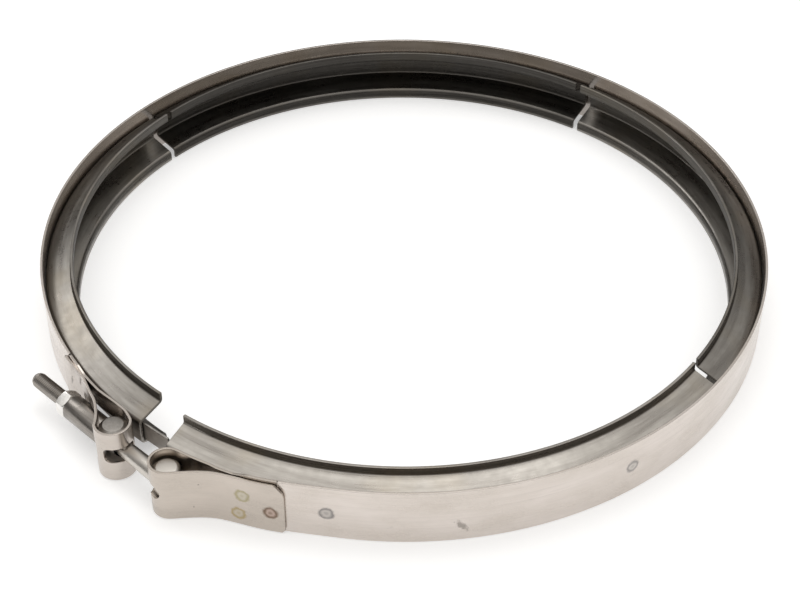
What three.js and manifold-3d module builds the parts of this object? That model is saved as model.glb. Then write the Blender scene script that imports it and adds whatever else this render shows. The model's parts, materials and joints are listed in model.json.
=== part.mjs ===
// V-band clamp (T-bolt V-retainer coupling), millimetres, +Z up, ring axis along Z.
import * as THREE from 'three';
import { mergeVertices } from 'three/addons/utils/BufferGeometryUtils.js';
import Module from 'manifold-3d';

const wasm = await Module();
wasm.setup();

// outer band: one strip of sheet, both ends folded back into loops
const BAND_R = 153;            // outside radius of the ring
const BAND_T = 1.1;            // sheet thickness of the strip
const BAND_H = 25.4;           // strip width (axial)
const STRAP_Z0 = 0.2;          // folded ends: lower edge
const STRAP_Z1 = 24.3;         // folded ends: upper edge
const BAND_C = BAND_R - BAND_T / 2;

// V retainers: flat base, two flanks, two short axial lips
const VEE_BASE_R = 151.6;      // outside radius of the base
const VEE_T = 1.25;            // sheet thickness
const VEE_LIP_R = 139.4;       // inside radius of the lips
const VEE_MID = 13.0;          // middle of the channel above the band's lower edge
const VEE_HALF = 12.6;         // half the overall height
const VEE_FLAT = 4.8;          // half the height of the flat inside the base
const VEE_FLANK = 18;          // flank slope in degrees
const STEP = 3;                // degrees per facet around the ring

// where the band bends between retainers (degrees around the ring)
const HINGE_1 = 140.7;
const HINGE_2 = 53.1;
const HINGE_3 = -36.3;
const VEE_GAP = 0.5;           // half gap between neighbouring retainers
const BAND_GAP = 0.05;         // half gap between neighbouring band sections
const END_1 = 227.0;           // first retainer stops here
const END_4 = 233.2;           // fourth retainer starts here
const SPRING_IN = 2.8;         // the first retainer's free end stands this far inward
const SPRING_OUT = 2.4;        // the band's right end springs outward by this much

// latch frame: s runs along the bolt, d runs outward, both from the ring centre
const LATCH_AZ = 224.86;
const BOLT_D = 157.8;          // bolt centre line distance from the ring centre
const BOLT_Z = 12.25;          // bolt height
const TRUNNION_S = 1.3;        // trunnion centre
const HEAD_S = 32.8;           // T-head centre
const LOOP_L = { s: 2.65, d: 158.9, r: 6.85 };    // left loop, centre line
const LOOP_R = { s: 32.68, d: 157.59, r: 6.35 };  // right loop, centre line

const SHANK_R = 3.18;
const TIP_S = -48.8;
const HEAD_R = 5.2;
const HEAD_L = 18;
const TRUNNION_R = 5.5;
const TRUNNION_L = 18;
const HOLE_R = 3.9;
const SPACER_R = 5.2;
const SPACER_BORE = 3.6;
const SPACER_S0 = -24.84;
const SPACER_S1 = -4.0;
const NUT_AF = 9.45;
const NUT_BORE = 3.45;
const NUT_S0 = -30.0;
const NUT_S1 = -25.14;
const NUT_TURN = -2.55;           // one corner of the nut is this far from straight up

const RAD = Math.PI / 180;
const group = new THREE.Group();
group.name = 'v_band_clamp';

const STEEL = { color: 0xcfc8c0, roughness: 0.25, metalness: 1.0 };
const SATIN = { color: 0x8c857b, roughness: 0.45, metalness: 1.0 };
const BRIGHT = { color: 0xe6e2da, roughness: 0.3, metalness: 1.0 };

function polar(r, deg) {
  return [r * Math.cos(deg * RAD), r * Math.sin(deg * RAD)];
}

// plan position from latch coordinates
function latch(s, d) {
  const a = LATCH_AZ * RAD;
  const x = d * Math.cos(a) - s * Math.sin(a);
  const y = d * Math.sin(a) + s * Math.cos(a);
  return [x, y];
}

function smooth(x) {
  const t = Math.min(Math.max(x, 0), 1);
  return t * t * (3 - 2 * t);
}

function pushed(p, by) {
  const r = Math.hypot(p[0], p[1]);
  return [p[0] * (1 + by / r), p[1] * (1 + by / r)];
}

function azimuth(p) {
  return (Math.atan2(p[1], p[0]) / RAD + 360) % 360;
}

// the first retainer leans inward towards its free end
function inward(p) {
  const x = (azimuth(p) - 195) / 33;
  return pushed(p, -SPRING_IN * Math.min(Math.max(x, 0), 1));
}

// the right end of the band leans outward
function outward(p) {
  return pushed(p, SPRING_OUT * smooth((260 - azimuth(p)) / 15));
}

function same(p) {
  return p;
}

// solid from a closed polygon profile (r, z) carried along plan angles
function sweep(profile, angles, place) {
  const verts = [];
  const index = [];
  const n = profile.length;
  for (const a of angles) {
    for (const [r, z] of profile) {
      const [x, y] = place(polar(r, a));
      verts.push(x, y, z);
    }
  }
  for (let i = 0; i < angles.length - 1; i += 1) {
    for (let j = 0; j < n; j += 1) {
      const k = (j + 1) % n;
      const a = i * n + j;
      const b = i * n + k;
      const c = (i + 1) * n + k;
      const d = (i + 1) * n + j;
      index.push(a, c, b, a, d, c);
    }
  }
  const shape = profile.map(([r, z]) => new THREE.Vector2(r, z));
  const tris = THREE.ShapeUtils.triangulateShape(shape, []);
  const last = (angles.length - 1) * n;
  for (const [a, b, c] of tris) {
    index.push(a, b, c);
    index.push(last + a, last + c, last + b);
  }
  const g = new THREE.BufferGeometry();
  g.setAttribute('position', new THREE.Float32BufferAttribute(verts, 3));
  g.setIndex(index);
  return g;
}

function angleList(a0, a1, step) {
  const out = [a0];
  const first = Math.ceil((a0 + 0.4 * step) / step) * step;
  for (let a = first; a < a1 - 0.4 * step; a += step) {
    out.push(a);
  }
  out.push(a1);
  return out;
}

function toManifold(geometry) {
  const g = geometry.clone();
  g.deleteAttribute('normal');
  g.deleteAttribute('uv');
  const m = mergeVertices(g, 1e-4);
  const index = m.index;
  const mesh = new wasm.Mesh({
    numProp: 3,
    vertProperties: new Float32Array(m.attributes.position.array),
    triVerts: new Uint32Array(index.array),
  });
  return new wasm.Manifold(mesh);
}

function fromManifold(m) {
  const mesh = m.getMesh();
  const g = new THREE.BufferGeometry();
  g.setAttribute('position', new THREE.Float32BufferAttribute(mesh.vertProperties, 3));
  g.setIndex(new THREE.Uint32BufferAttribute(mesh.triVerts, 1));
  return g;
}

function addPart(name, geometry, look) {
  const flat = geometry.index ? geometry.toNonIndexed() : geometry;
  flat.computeVertexNormals();
  const material = new THREE.MeshStandardMaterial(look);
  const mesh = new THREE.Mesh(flat, material);
  mesh.name = name;
  group.add(mesh);
}

// upright prism from a plan outline
function prism(outline, z0, z1) {
  const shape = new THREE.Shape();
  outline.forEach(([x, y], i) => {
    if (i === 0) {
      shape.moveTo(x, y);
    } else {
      shape.lineTo(x, y);
    }
  });
  shape.closePath();
  const options = { depth: z1 - z0, bevelEnabled: false, steps: 1 };
  const g = new THREE.ExtrudeGeometry(shape, options);
  g.translate(0, 0, z0);
  return toManifold(g);
}

// outline of a strip of the given thickness following a centre line
function strip(path, thickness) {
  const left = [];
  const right = [];
  const last = path.length - 1;
  path.forEach((p, i) => {
    const a = path[Math.max(i - 1, 0)];
    const b = path[Math.min(i + 1, last)];
    const dx = b[0] - a[0];
    const dy = b[1] - a[1];
    const len = Math.hypot(dx, dy);
    const nx = (-dy / len) * thickness * 0.5;
    const ny = (dx / len) * thickness * 0.5;
    left.push([p[0] + nx, p[1] + ny]);
    right.push([p[0] - nx, p[1] - ny]);
  });
  return left.concat(right.reverse());
}

// points around a loop, angle measured from s towards d
function loopArc(loop, a0, a1, count) {
  const out = [];
  for (let i = 0; i <= count; i += 1) {
    const a = (a0 + ((a1 - a0) * i) / count) * RAD;
    out.push(latch(loop.s + loop.r * Math.cos(a), loop.d + loop.r * Math.sin(a)));
  }
  return out;
}

// smooth curve between the first and the last point through all the others
function through(points, each) {
  const out = [];
  const last = points.length - 1;
  for (let i = 0; i < last; i += 1) {
    const p = points[i];
    const q = points[i + 1];
    const a = i === 0 ? p : points[i - 1];
    const b = i === last - 1 ? q : points[i + 2];
    for (let k = i === 0 ? 1 : 0; k < each; k += 1) {
      const t = k / each;
      const w = [
        -0.5 * t ** 3 + t * t - 0.5 * t,
        1.5 * t ** 3 - 2.5 * t * t + 1,
        -1.5 * t ** 3 + 2 * t * t + 0.5 * t,
        0.5 * t ** 3 - 0.5 * t * t,
      ];
      out.push([0, 1].map((j) => w[0] * a[j] + w[1] * p[j] + w[2] * q[j] + w[3] * b[j]));
    }
  }
  return out;
}

function arcPath(r, a0, a1, place) {
  const list = a0 < a1 ? angleList(a0, a1, STEP) : angleList(a1, a0, STEP).reverse();
  return list.map((a) => place(polar(r, a)));
}

const bandProfile = [
  [BAND_R - BAND_T, 0],
  [BAND_R, 0],
  [BAND_R, BAND_H],
  [BAND_R - BAND_T, BAND_H],
];

function bandArc(a0, a1, place) {
  return sweep(bandProfile, angleList(a0, a1, STEP), place);
}

function boxAt(s0, s1, d0, d1, z0, z1) {
  const outline = [latch(s0, d0), latch(s1, d0), latch(s1, d1), latch(s0, d1)];
  return prism(outline, z0, z1);
}

// one half of a folded end; the halves are joined in the middle of the loop
function foldedHalf(path) {
  return prism(strip(path, BAND_T - 0.04), STRAP_Z0, STRAP_Z1);
}

// band section 1: arc, inner leg, loop round the trunnion, outer leg back onto the arc
function bandSection1() {
  const arc = toManifold(bandArc(HINGE_1 + BAND_GAP, 213.5, same));
  const inner = arcPath(BAND_C, 210.5, 219.3, same);
  const loop = loopArc(LOOP_L, -60, 122, 14);
  const low = [[-10.5, 151.62], [-6.27, 151.4], [-2.48, 151.42], [1.29, 151.57]];
  const lowPoints = low.map(([s, d]) => latch(s, d));
  const leg = through([inner[inner.length - 1]].concat(lowPoints, [loop[0]]), 3);
  const outer = arcPath(BAND_R + BAND_T / 2 - 0.3, 215.2, 209, same);
  const high = [[-3.3, 162.1], [-6.5, 159.5], [-11.3, 156.45], [-16.5, 154.6], [-20.9, 152.9]];
  const highPoints = high.map(([s, d]) => latch(s, d));
  const back = through([loop[14]].concat(highPoints, [outer[0]]), 3);
  const inside = foldedHalf(inner.concat(leg, loop.slice(0, 9)));
  const outside = foldedHalf(loop.slice(7).concat(back, outer));
  // slot for the bolt in the front of the loop
  const slot = boxAt(4.2, 16, BOLT_D - 4.6, BOLT_D + 12, BOLT_Z - 3.6, BOLT_Z + 4);
  // window for the spacer sleeve in the outer leg and a narrow groove under it
  const window = boxAt(-24.7, TRUNNION_S - 4.0, BOLT_D - 7.2, BOLT_D + 12,
    BOLT_Z - 5.9, BOLT_Z + 5.9);
  const groove = boxAt(-24.7, TRUNNION_S - 4.0, BOLT_D - 7.2, BOLT_D - 2,
    BOLT_Z - 3.2, BOLT_Z + 3.2);
  const under = arc.add(inside).subtract(slot).subtract(groove);
  return fromManifold(under.add(outside.subtract(slot).subtract(window)));
}

// band section 4: arc, inner leg, loop round the T-head, outer leg back onto the arc
function bandSection4() {
  const arc = toManifold(bandArc(242.5, 360 + HINGE_3 - BAND_GAP, outward));
  const inner = arcPath(BAND_C, 245.5, 242.5, outward);
  const loop = loopArc(LOOP_R, 255, 45, 15);
  const low = [[45.4, 147.65], [41.2, 148.9], [36.9, 150.05]].map(([s, d]) => latch(s, d));
  const leg = through([inner[inner.length - 1]].concat(low, [loop[0]]), 3);
  const outer = arcPath(BAND_R + BAND_T / 2 - 0.3, 247.2, 253.1, outward);
  const high = [[38.66, 160.46], [41.0, 157.7], [43.43, 155.0], [46.0, 152.4], [50.5, 148.9]];
  const highPoints = high.map(([s, d]) => latch(s, d));
  const back = through([loop[15]].concat(highPoints, [outer[0]]), 3);
  const first = inner.concat(leg, loop.slice(0, 9));
  let strap = foldedHalf(first).add(foldedHalf(loop.slice(7).concat(back, outer)));
  // slot where the bolt leaves the T-head, narrower towards its rounded front end
  const mouth = boxAt(HEAD_S - 12, HEAD_S - 3.4, BOLT_D - 5.2, BOLT_D + 12,
    BOLT_Z - 5.8, BOLT_Z + 5.0);
  const front = boxAt(HEAD_S - 6, HEAD_S + 2.0, BOLT_D, BOLT_D + 12, BOLT_Z - 3.1, BOLT_Z + 3.1);
  strap = strap.subtract(mouth);
  strap = strap.subtract(front);
  return fromManifold(arc.add(strap));
}

// closed (r, z) outline of one retainer
function veeProfile() {
  const slope = Math.tan(VEE_FLANK * RAD);
  const inBase = VEE_BASE_R - VEE_T;
  const outLip = VEE_LIP_R + VEE_T;
  const bend = VEE_FLAT + slope * (inBase - VEE_LIP_R);
  const skin = VEE_T / Math.cos(VEE_FLANK * RAD);
  const cornerOut = VEE_FLAT + skin + slope * (inBase - VEE_BASE_R);
  const ridge = VEE_FLAT + skin + slope * (inBase - outLip);
  const half = [
    [VEE_BASE_R, cornerOut - 0.9],
    [VEE_BASE_R - 0.9, cornerOut + 0.25],
    [outLip + 0.9, ridge - 0.3],
    [outLip, ridge + 0.75],
    [outLip, VEE_HALF],
    [VEE_LIP_R, VEE_HALF],
    [VEE_LIP_R, bend + 1.0],
    [VEE_LIP_R + 1.2, bend - 0.4],
    [inBase, VEE_FLAT],
  ];
  const up = half.map(([r, z]) => [r, VEE_MID + z]);
  const down = half.map(([r, z]) => [r, VEE_MID - z]).reverse();
  return up.concat(down);
}

function retainer(a0, a1, place) {
  const outline = veeProfile();
  return sweep(outline, angleList(a0, a1, STEP), place);
}

// thin plate that bridges the gap between the first and the last retainer
function bridge() {
  const r1 = VEE_BASE_R - VEE_T - 0.3;
  const r0 = r1 - 0.9;
  const h = VEE_FLAT - 0.5;
  const profile = [
    [r0, VEE_MID - h],
    [r1, VEE_MID - h],
    [r1, VEE_MID + h],
    [r0, VEE_MID + h],
  ];
  return sweep(profile, angleList(220.5, 232.3, 1.5), inward);
}

// turned upright pin with bevelled ends
function pin(radius, length, bevel) {
  const h = length / 2;
  const pts = [
    [0, -h],
    [radius - bevel, -h],
    [radius, -h + bevel * 0.8],
    [radius, h - bevel * 0.8],
    [radius - bevel, h],
    [0, h],
  ].map(([x, y]) => new THREE.Vector2(x, y));
  const g = new THREE.LatheGeometry(pts, 32);
  g.rotateX(Math.PI / 2);
  return g;
}

// bar along the bolt from s0 to s1, given as radius steps
function bar(steps, sides, turn) {
  const pts = [new THREE.Vector2(0, steps[0][0])];
  steps.forEach(([s, r]) => pts.push(new THREE.Vector2(r, s)));
  pts.push(new THREE.Vector2(0, steps[steps.length - 1][0]));
  const g = new THREE.LatheGeometry(pts, sides);
  g.rotateY(turn * RAD);
  g.rotateZ(-Math.PI / 2);
  placeOnBolt(g);
  return g;
}

// local x runs along the bolt
function placeOnBolt(g) {
  g.rotateZ((LATCH_AZ + 90) * RAD);
  const [x, y] = latch(0, BOLT_D);
  g.translate(x, y, BOLT_Z);
}

function trunnion() {
  const body = pin(TRUNNION_R, TRUNNION_L, 1.5);
  const [x, y] = latch(TRUNNION_S, BOLT_D);
  body.translate(x, y, BOLT_Z);
  const hole = bar([[-12, HOLE_R], [10, HOLE_R]], 32, 0);
  // flat seat for the sleeve on the nut side
  const seat = boxAt(-12, TRUNNION_S - 5.0, BOLT_D - 9, BOLT_D + 9, BOLT_Z - 6.2, BOLT_Z + 6.2);
  const cut = toManifold(body).subtract(toManifold(hole));
  return fromManifold(cut.subtract(seat));
}

function tBolt() {
  const head = pin(HEAD_R, HEAD_L, 1.2);
  const [x, y] = latch(HEAD_S, BOLT_D);
  head.translate(x, y, BOLT_Z);
  const shank = bar([
    [TIP_S, SHANK_R - 1.2],
    [TIP_S + 1.3, SHANK_R - 0.1],
    [HEAD_S - 26, SHANK_R],
    [HEAD_S - 22, SHANK_R + 0.25],
    [HEAD_S - 8, SHANK_R + 0.5],
    [HEAD_S - 1, SHANK_R + 0.7],
  ], 32, 0);
  return fromManifold(toManifold(shank).add(toManifold(head)));
}

function spacer() {
  const out = bar([
    [SPACER_S0, SPACER_R - 0.5],
    [SPACER_S0 + 0.5, SPACER_R],
    [SPACER_S1 - 0.5, SPACER_R],
    [SPACER_S1, SPACER_R - 0.5],
  ], 32, 0);
  const bore = bar([[SPACER_S0 - 2, SPACER_BORE], [SPACER_S1 + 2, SPACER_BORE]], 32, 0);
  return fromManifold(toManifold(out).subtract(toManifold(bore)));
}

function hexNut() {
  const corner = NUT_AF / 2 / Math.cos(Math.PI / 6);
  const hex = bar([[NUT_S0, corner], [NUT_S1, corner]], 6, NUT_TURN);
  const dome = bar([
    [NUT_S0 - 0.01, NUT_AF / 2 - 0.1],
    [NUT_S0 + 0.75, corner + 0.02],
    [NUT_S1 - 0.75, corner + 0.02],
    [NUT_S1 + 0.01, NUT_AF / 2 - 0.1],
  ], 48, 0);
  const bore = bar([[NUT_S0 - 2, NUT_BORE], [NUT_S1 + 2, NUT_BORE]], 32, 0);
  const body = toManifold(hex).intersect(toManifold(dome));
  return fromManifold(body.subtract(toManifold(bore)));
}

addPart('band_section_1', bandSection1(), STEEL);
addPart('band_section_2', bandArc(HINGE_2 + BAND_GAP, HINGE_1 - BAND_GAP, same), STEEL);
addPart('band_section_3', bandArc(HINGE_3 + BAND_GAP, HINGE_2 - BAND_GAP, same), STEEL);
addPart('band_section_4', bandSection4(), STEEL);
addPart('v_retainer_1', retainer(HINGE_1 + VEE_GAP, END_1, inward), SATIN);
addPart('v_retainer_2', retainer(HINGE_2 + VEE_GAP, HINGE_1 - VEE_GAP, same), SATIN);
addPart('v_retainer_3', retainer(HINGE_3 + VEE_GAP, HINGE_2 - VEE_GAP, same), SATIN);
addPart('v_retainer_4', retainer(END_4, 360 + HINGE_3 - VEE_GAP, same), SATIN);
addPart('gap_bridge', bridge(), SATIN);
addPart('trunnion', trunnion(), SATIN);
addPart('t_bolt', tBolt(), SATIN);
addPart('spacer_sleeve', spacer(), SATIN);
addPart('hex_nut', hexNut(), BRIGHT);

const box = new THREE.Box3().setFromObject(group);
group.children.forEach((mesh) => {
  mesh.geometry.translate(-(box.min.x + box.max.x) / 2, -(box.min.y + box.max.y) / 2, -box.min.z);
});

export default group;
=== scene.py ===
"""V-band clamp: polished strip with folded loop ends, V retainers, T-bolt, sleeve and nut."""
import json
import math

import bpy
from mathutils import Matrix, Vector
from mathutils.geometry import delaunay_2d_cdt

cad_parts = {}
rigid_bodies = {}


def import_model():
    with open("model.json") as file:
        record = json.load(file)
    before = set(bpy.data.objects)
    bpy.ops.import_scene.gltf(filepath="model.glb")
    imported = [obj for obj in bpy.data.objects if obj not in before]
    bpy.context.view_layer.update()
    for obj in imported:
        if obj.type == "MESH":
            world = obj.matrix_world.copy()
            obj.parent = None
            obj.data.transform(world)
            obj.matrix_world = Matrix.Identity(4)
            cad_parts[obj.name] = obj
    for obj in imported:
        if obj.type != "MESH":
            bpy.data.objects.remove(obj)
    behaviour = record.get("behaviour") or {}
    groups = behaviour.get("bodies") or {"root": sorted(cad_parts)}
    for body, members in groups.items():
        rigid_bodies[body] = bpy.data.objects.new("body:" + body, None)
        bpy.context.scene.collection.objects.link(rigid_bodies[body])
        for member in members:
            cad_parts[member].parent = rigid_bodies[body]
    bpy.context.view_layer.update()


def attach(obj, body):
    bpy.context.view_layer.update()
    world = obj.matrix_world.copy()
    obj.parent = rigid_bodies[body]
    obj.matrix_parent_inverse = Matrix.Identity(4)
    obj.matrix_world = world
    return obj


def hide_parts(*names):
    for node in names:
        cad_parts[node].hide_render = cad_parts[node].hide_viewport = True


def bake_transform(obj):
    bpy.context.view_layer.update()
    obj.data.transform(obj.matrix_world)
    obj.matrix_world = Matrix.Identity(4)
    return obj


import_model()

# ---------------------------------------------------------------- sizes (mm, in the part's own frame)
BAND_R, BAND_T, BAND_H = 153.0, 1.1, 25.4
BAND_C = BAND_R - BAND_T / 2
STRAP_Z0, STRAP_Z1 = 0.2, 24.3
VEE_BASE_R, VEE_T, VEE_LIP_R = 151.6, 1.25, 139.4
VEE_MID, VEE_HALF, VEE_FLAT, VEE_FLANK = 13.0, 12.6, 4.8, 18.0
HINGE_1, HINGE_2, HINGE_3 = 140.7, 53.1, -36.3
VEE_GAP = 0.5
END_1, END_4 = 227.0, 233.2
SPRING_IN, SPRING_OUT = 2.8, 2.4           # free ends of the first retainer and of the strip
LATCH_AZ, BOLT_D, BOLT_Z = 224.86, 157.8, 12.25
TRUNNION_S, HEAD_S = 1.3, 32.8
LOOP_L, LOOP_R = (2.65, 158.9, 6.85), (32.68, 157.59, 6.35)   # s, d and centre-line radius
SHANK_R, TIP_S = 3.18, -48.8
HEAD_R, HEAD_L = 5.2, 18.0
TRUNNION_R, TRUNNION_L, HOLE_R = 5.5, 18.0, 3.9
SPACER_R, SPACER_BORE, SPACER_S0, SPACER_S1 = 5.2, 3.6, -24.84, -4.0
NUT_AF, NUT_BORE, NUT_S0, NUT_S1, NUT_TURN = 9.45, 3.45, -30.0, -25.14, -2.55
PITCH = 0.907
LEFT_SEAM, RIGHT_SEAM = 210.4, 252.2      # joints in the strip lie under the outer legs
FAR_SEAM, SIDE_SEAM = 97.0, 8.0
EDGE = 0.22                                # bevel on cut sheet edges
LAY = 0.22                                 # play between the strip and the leg welded on it
ARC_STEP, PATH_STEP, LOOP_STEP = 0.75, 0.5, 6    # degrees between stations

scene = bpy.context.scene


def rad(a):
    return a * math.pi / 180


def row(p):
    return Vector((p[0] / 1000, p[1] / 1000, p[2] / 1000))


def polar(r, az):
    return Vector((r * math.cos(rad(az)), r * math.sin(rad(az))))


def latch(s, d):
    a = rad(LATCH_AZ)
    return Vector((d * math.cos(a) - s * math.sin(a), d * math.sin(a) + s * math.cos(a)))


def smooth(t):
    t = min(1.0, max(0.0, t))
    return t * t * (3 - 2 * t)


def pushed(p, by):
    return p * (1 + by / p.length)


def azimuth(p):
    return math.degrees(math.atan2(p[1], p[0])) % 360


def inward(p):
    """The first retainer leans inward towards its free end."""
    return pushed(p, -SPRING_IN * min(1.0, max(0.0, (azimuth(p) - 195) / 33)))


def outward(p):
    """The right end of the strip leans outward."""
    a = azimuth(p)
    return pushed(p, SPRING_OUT * smooth((260 - a) / 15)) if a > 180 else p


def through(points, each):
    """Smooth curve between the first and the last point through all the others."""
    out = []
    for i in range(len(points) - 1):
        p, q = points[i], points[i + 1]
        a = points[i - 1] if i else p
        b = points[i + 2] if i < len(points) - 2 else q
        for k in range(0 if i else 1, each):
            t = k / each
            out.append(a * (-0.5 * t ** 3 + t * t - 0.5 * t) + p * (1.5 * t ** 3 - 2.5 * t * t + 1)
                       + q * (-1.5 * t ** 3 + 2 * t * t + 0.5 * t) + b * (0.5 * t ** 3 - 0.5 * t * t))
    return out


def steps(a, b, step):
    n = max(1, int(round(abs(b - a) / step)))
    return [a + (b - a) * i / n for i in range(n + 1)]


# ---------------------------------------------------------------- meshes
class Skin:
    """Collects faces with their own corner normals, and the strip coordinates of each point."""

    def __init__(self):
        self.points, self.faces, self.normals, self.strip, self.ids = [], [], [], [], {}

    def point(self, p, strip=(0, 0, 0)):
        key = (round(p[0], 4), round(p[1], 4), round(p[2], 4))
        if key not in self.ids:
            self.ids[key] = len(self.points)
            self.points.append(p)
            self.strip.append(strip)
        return self.ids[key]

    def face(self, ids, normals):
        seen, kept = [], []
        for i, n in zip(ids, normals):
            if i not in seen:
                seen.append(i)
                kept.append(n)
        if len(seen) > 2:
            self.faces.append(seen)
            self.normals.append(kept)

    def build(self, name):
        mesh = bpy.data.meshes.new(name)
        mesh.from_pydata([row(p) for p in self.points], [], self.faces)
        mesh.shade_smooth()
        mesh.normals_split_custom_set([n for f in self.normals for n in f])
        a = mesh.attributes.new("strip", "FLOAT_VECTOR", "POINT")
        a.data.foreach_set("vector", [c for s in self.strip for c in s])
        obj = bpy.data.objects.new(name, mesh)
        scene.collection.objects.link(obj)
        return obj


def frame_path(points, before=None):
    """Stations of a plan path: point, right-hand normal and running length."""
    out, length = [], 0.0
    for i, p in enumerate(points):
        a = points[i - 1] if i > 0 else (before or p)
        b = points[i + 1] if i < len(points) - 1 else p
        t = (b - a).normalized()
        if i > 0:
            length += (p - points[i - 1]).length
        out.append((p, Vector((t[1], -t[0])), length))
    return out


def inset(loop, d):
    """The loop moved to its left by d: into the sheet, for an outline and for a clockwise hole."""
    out = []
    for i, p in enumerate(loop):
        a, b = loop[i - 1], loop[(i + 1) % len(loop)]
        e0, e1 = (p - a).normalized(), (b - p).normalized()
        n0, n1 = Vector((-e0[1], e0[0])), Vector((-e1[1], e1[0]))
        out.append(p + (n0 + n1) * (d / (1 + n0.dot(n1))))
    return out


def inside(p, loop):
    hit = False
    for i, a in enumerate(loop):
        b = loop[i - 1]
        if (a[1] > p[1]) != (b[1] > p[1]):
            crossing = (b[0] - a[0]) * (p[1] - a[1]) / (b[1] - a[1]) + a[0]
            if p[0] < crossing:
                hit = not hit
    return hit


def sheet_part(name, path, outline, holes, thick, bevel=EDGE):
    """Bent sheet: outline and holes in (length along, height), carried onto the plan path."""
    half = thick / 2
    marks = [s[2] for s in path]

    def at(u):
        lo, hi = 0, len(marks) - 2
        while lo < hi:
            mid = (lo + hi + 1) // 2
            if marks[mid] <= u + 1e-7:
                lo = mid
            else:
                hi = mid - 1
        a, b = path[lo], path[lo + 1]
        k = min(1.0, max(0.0, (u - a[2]) / (b[2] - a[2])))
        p = a[0].lerp(b[0], k)
        n = a[1].lerp(b[1], k).normalized()
        return p, n

    skin = Skin()

    def place(uv, off, side):
        p, n = at(uv[0])
        q = p + n * off
        return skin.point((q[0], q[1], uv[1]), (uv[0], uv[1], side))

    loops = []
    for loop in [outline] + holes:
        loop = [Vector(p) for p in loop]
        inner = inset(loop, bevel)
        fine_in, fine_out = [], []
        for i, p in enumerate(inner):
            q = inner[(i + 1) % len(inner)]
            cuts = [0.0]
            if abs(q[0] - p[0]) > 1e-6:
                for u in marks:
                    t = (u - p[0]) / (q[0] - p[0])
                    if 1e-4 < t < 1 - 1e-4:
                        cuts.append(t)
            for t in sorted(cuts):
                fine_in.append(p.lerp(q, t))
                fine_out.append(loop[i].lerp(loop[(i + 1) % len(loop)], t))
        loops.append((fine_in, fine_out))
    coords, edges = [], []
    for fine_in, _ in loops:
        base = len(coords)
        coords += fine_in
        edges += [(base + i, base + (i + 1) % len(fine_in)) for i in range(len(fine_in))]
    rings = [f for f, _ in loops]

    def in_sheet(p):
        return inside(p, rings[0]) and not any(inside(p, r) for r in rings[1:])

    for u in marks:
        near = sorted((c[1], i) for i, c in enumerate(coords) if abs(c[0] - u) < 2e-5)
        for (z0, i), (z1, j) in zip(near, near[1:]):
            if z1 - z0 > 1e-3 and in_sheet(Vector((u + 1e-5, (z0 + z1) / 2))):
                edges.append((i, j))
    verts, _, faces, _, _, _ = delaunay_2d_cdt(coords, edges, [], 0, 1e-5)
    for tri in faces:
        c = sum((verts[i] for i in tri), Vector((0, 0))) / len(tri)
        if not in_sheet(c):
            continue
        cross = (verts[tri[1]] - verts[tri[0]]).cross(verts[tri[2]] - verts[tri[0]])
        order = list(tri) if cross > 0 else list(reversed(tri))
        ns = [at(verts[i][0])[1] for i in order]
        front = [place(verts[i], half, 1) for i in order]
        skin.face(front, [(n[0], n[1], 0) for n in ns])
        back = [place(verts[i], -half, -1) for i in reversed(order)]
        skin.face(back, [(-n[0], -n[1], 0) for n in reversed(ns)])
    turns = [90, 60, 30, 0, 0, -30, -60, -90]
    for fine_in, fine_out in loops:
        count = len(fine_in)
        columns = []
        for i in range(count):
            p, q = fine_in[i], fine_out[i]
            a, b = fine_out[i - 1], fine_out[(i + 1) % count]
            e0 = (q - a).normalized() if (q - a).length > 1e-9 else (b - q).normalized()
            e1 = (b - q).normalized() if (b - q).length > 1e-9 else e0
            out = Vector((e0[1] + e1[1], -e0[0] - e1[0])).normalized()
            _, n = at(p[0])
            t = Vector((-n[1], n[0]))
            out3 = Vector((t[0] * out[0], t[1] * out[0], out[1]))
            n3 = Vector((n[0], n[1], 0))
            column = []
            for k, turn in enumerate(turns):
                cs, sn = math.cos(rad(turn)), math.sin(rad(turn))
                off = (half - bevel) * (1 if k < 4 else -1) + bevel * sn
                side = 1 if k < 4 else -1
                column.append((place(p.lerp(q, cs), off, side), (out3 * cs + n3 * sn).normalized()))
            columns.append(column)
        for i in range(count):
            a, b = columns[i], columns[(i + 1) % count]
            for k in range(len(turns) - 1):
                quad = [a[k], a[k + 1], b[k + 1], b[k]]
                skin.face([c[0] for c in quad], [tuple(c[1]) for c in quad])
    return skin.build(name)


def rounded(points, radius, count=5):
    """Polyline with its inner corners rounded; returns points and left-hand normals."""
    out = []
    for i, p in enumerate(points):
        p = Vector(p)
        if i in (0, len(points) - 1):
            q = Vector(points[1] if i == 0 else points[-2])
            t = (q - p).normalized() if i == 0 else (p - q).normalized()
            out.append((p, Vector((-t[1], t[0]))))
            continue
        a, b = Vector(points[i - 1]), Vector(points[i + 1])
        t0, t1 = (p - a).normalized(), (b - p).normalized()
        turn = math.atan2(t0[0] * t1[1] - t0[1] * t1[0], t0.dot(t1))
        reach = radius * math.tan(abs(turn) / 2)
        n0 = Vector((-t0[1], t0[0]))
        sign = 1 if turn > 0 else -1
        centre = p - t0 * reach + n0 * radius * sign
        for k in range(count + 1):
            w = turn * k / count
            cs, sn = math.cos(w), math.sin(w)
            n = Vector((n0[0] * cs - n0[1] * sn, n0[0] * sn + n0[1] * cs))
            out.append((centre - n * radius * sign, n))
    return out


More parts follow.
